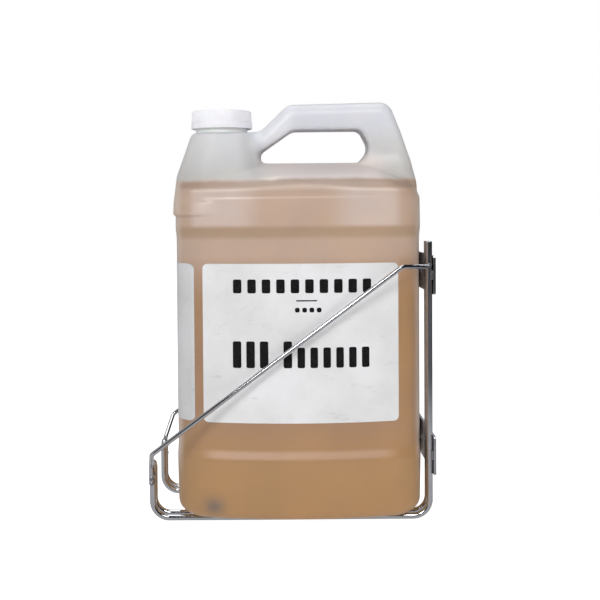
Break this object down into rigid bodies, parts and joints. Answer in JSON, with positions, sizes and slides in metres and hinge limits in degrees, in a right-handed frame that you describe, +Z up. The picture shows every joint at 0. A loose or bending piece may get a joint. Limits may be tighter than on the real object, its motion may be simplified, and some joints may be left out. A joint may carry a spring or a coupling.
{
  "type": "shampoo bottle in wire wall rack",
  "caption": "Translucent gallon jug with moulded handle, screw cap and paper labels, filled with tan shampoo, standing in a welded chrome wire wall rack with slanted side guards.",
  "frame": {"origin": "centre of the whole object's footprint, on the surface the rack's bottom wires stand on", "axes": "+Z up; +X from the open front leg to the wall plates; -Y towards the side with the front label"},
  "size_m": [0.1876, 0.1362, 0.2756],
  "materials": {
    "jug_plastic": "translucent blow-moulded polyethylene, satin",
    "shampoo": "cloudy tan liquid",
    "label_paper": "coated paper sticker, lightly scuffed",
    "cap_plastic": "white ribbed polypropylene",
    "liner_foam": "white foam disc",
    "chrome_wire": "bright plated wire",
    "chrome_plate": "bright plated flat bar",
    "weld_metal": "plated weld beads"
  },
  "bodies": {
    "rack": {"front_side_frame": "chrome_wire", "rear_side_frame": "chrome_wire", "front_guard_rod": "chrome_wire", "rear_guard_rod": "chrome_wire", "upper_wall_plate": "chrome_plate", "lower_wall_plate": "chrome_plate", "guard_welds": "weld_metal", "plate_welds": "weld_metal"},
    "bottle": {"bottle_shell": "jug_plastic", "shampoo_fill": "shampoo", "front_label": "label_paper", "back_label": "label_paper", "end_label": "label_paper"},
    "liner": {"cap_liner": "liner_foam"},
    "cap": {"screw_cap": "cap_plastic"}
  },
  "joints": [
    {"name": "bottle_lift", "type": "slide", "parent": "rack", "child": "bottle", "axis": [0, 0, 1], "range_m": [0, 0.18]},
    {"name": "cap_lift", "type": "slide", "parent": "bottle", "child": "liner", "axis": [0, 0, 1], "range_m": [0, 0.0053]},
    {"name": "cap_turn", "type": "hinge", "parent": "liner", "child": "cap", "pos_m": [-0.0465, 0, 0.25], "axis": [0, 0, 1], "range_deg": [0, 450]}
  ],
  "couplings": [
    {"joint": "cap_lift", "follows": "cap_turn", "m_per_rad": 0.00067376}
  ]
}
